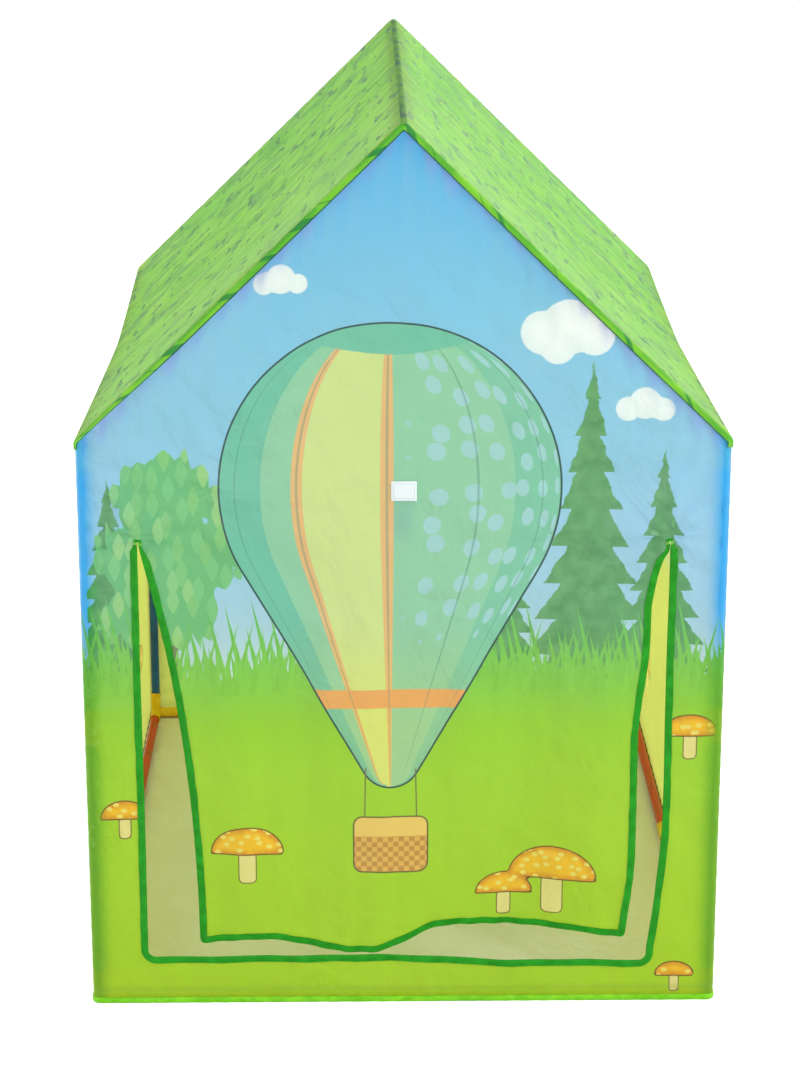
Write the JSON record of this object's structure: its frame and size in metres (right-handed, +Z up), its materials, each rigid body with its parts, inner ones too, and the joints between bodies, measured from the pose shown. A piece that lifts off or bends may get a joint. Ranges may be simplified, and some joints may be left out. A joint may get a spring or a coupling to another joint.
{
  "type": "kids play tent",
  "caption": "House-shaped play tent for small children: printed cloth over a push-fit tube frame, with a hanging door flap and a tieback strap.",
  "frame": {"origin": "on the ground, under the middle of the tent", "axes": "+Z up, the gabled door end faces -Y, the ridge runs along Y, +X to the right of the door"},
  "size_m": [0.72, 0.95, 1.0199],
  "materials": {
    "blue_tube": "smooth moulded plastic",
    "red_tube": "smooth moulded plastic",
    "yellow_tube": "smooth moulded plastic",
    "yellow_socket": "smooth moulded plastic",
    "roof_cloth": "printed satin polyester",
    "wall_cloth": "printed satin polyester",
    "floor_cloth": "plain coated polyester",
    "green_tape": "woven bias tape",
    "lime_piping": "folded hem tape",
    "white_hook_tape": "hook-and-loop tape"
  },
  "bodies": {
    "tent": {"back_wall": "wall_cloth", "base_bar_back_coupler": "yellow_socket", "base_bar_back_left": "yellow_tube", "base_bar_back_right": "yellow_tube", "base_bar_front_coupler": "yellow_socket", "base_bar_front_left": "yellow_tube", "base_bar_front_right": "yellow_tube", "base_bar_left_back": "red_tube", "base_bar_left_coupler": "yellow_socket", "base_bar_left_front": "red_tube", "base_bar_right_back": "red_tube", "base_bar_right_coupler": "yellow_socket", "base_bar_right_front": "red_tube", "base_piping": "lime_piping", "corner_socket_back_left": "yellow_socket", "corner_socket_back_right": "yellow_socket", "corner_socket_front_left": "yellow_socket", "corner_socket_front_right": "yellow_socket", "doorway_binding": "green_tape", "eaves_bar_left_back": "red_tube", "eaves_bar_left_coupler": "yellow_socket", "eaves_bar_left_front": "red_tube", "eaves_bar_right_back": "red_tube", "eaves_bar_right_coupler": "yellow_socket", "eaves_bar_right_front": "red_tube", "eaves_socket_back_left": "yellow_socket", "eaves_socket_back_right": "yellow_socket", "eaves_socket_front_left": "yellow_socket", "eaves_socket_front_right": "yellow_socket", "floor_sheet": "floor_cloth", "front_wall": "wall_cloth", "loop_patch": "white_hook_tape", "post_back_left_coupler": "yellow_socket", "post_back_left_lower": "blue_tube", "post_back_left_upper": "blue_tube", "post_back_right_coupler": "yellow_socket", "post_back_right_lower": "blue_tube", "post_back_right_upper": "blue_tube", "post_front_left_coupler": "yellow_socket", "post_front_left_lower": "blue_tube", "post_front_left_upper": "blue_tube", "post_front_right_coupler": "yellow_socket", "post_front_right_lower": "blue_tube", "post_front_right_upper": "blue_tube", "rafter_back_left": "yellow_tube", "rafter_back_right": "yellow_tube", "rafter_front_left": "yellow_tube", "rafter_front_right": "yellow_tube", "ridge_bar_back": "red_tube", "ridge_bar_coupler": "yellow_socket", "ridge_bar_front": "red_tube", "ridge_socket_back": "yellow_socket", "ridge_socket_front": "yellow_socket", "roof_left": "roof_cloth", "roof_right": "roof_cloth", "side_wall_left": "wall_cloth", "side_wall_right": "wall_cloth"},
    "door": {"door_flap": "wall_cloth", "flap_binding": "green_tape"},
    "strap": {"tieback_strap": "white_hook_tape"}
  },
  "joints": [
    {"name": "door_swing", "type": "hinge", "parent": "tent", "child": "door", "pos_m": [0, -0.4732, 0.5565], "axis": [1, 0, 0], "range_deg": [-110, 85]},
    {"name": "strap_swing", "type": "hinge", "parent": "tent", "child": "strap", "pos_m": [0, -0.4708, 0.625], "axis": [1, 0, 0], "range_deg": [0, 80]}
  ]
}
